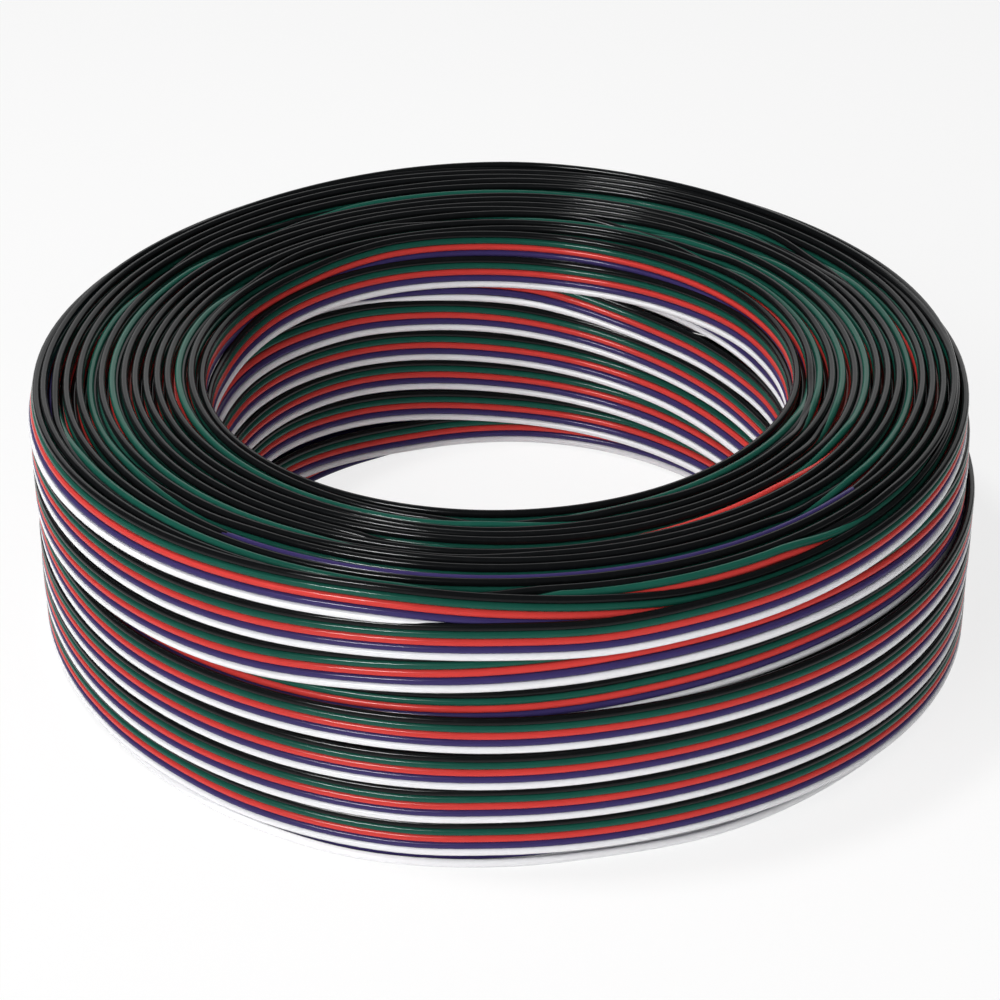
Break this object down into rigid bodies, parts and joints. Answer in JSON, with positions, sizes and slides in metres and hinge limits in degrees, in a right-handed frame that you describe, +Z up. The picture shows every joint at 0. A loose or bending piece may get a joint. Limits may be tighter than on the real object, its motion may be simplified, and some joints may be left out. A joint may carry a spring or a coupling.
{
  "type": "coil of led strip cable",
  "caption": "Flat multi-core cable for LED strips, wound on edge into a thick open ring that lies flat, with coloured cores showing in rows on its walls and black ridges on top.",
  "frame": {"origin": "centre of the coil on the surface that it lies on", "axes": "+Z up along the coil's axis; the coil is round, so +X and +Y are free"},
  "size_m": [0.2298, 0.2298, 0.066],
  "materials": {
    "black_pvc": "semi-gloss",
    "green_pvc": "semi-gloss",
    "red_pvc": "semi-gloss",
    "blue_pvc": "semi-gloss",
    "white_pvc": "semi-gloss"
  },
  "bodies": {
    "root": {"black_core": "black_pvc", "green_core": "green_pvc", "red_core": "red_pvc", "blue_core": "blue_pvc", "white_core": "white_pvc"}
  },
  "joints": []
}
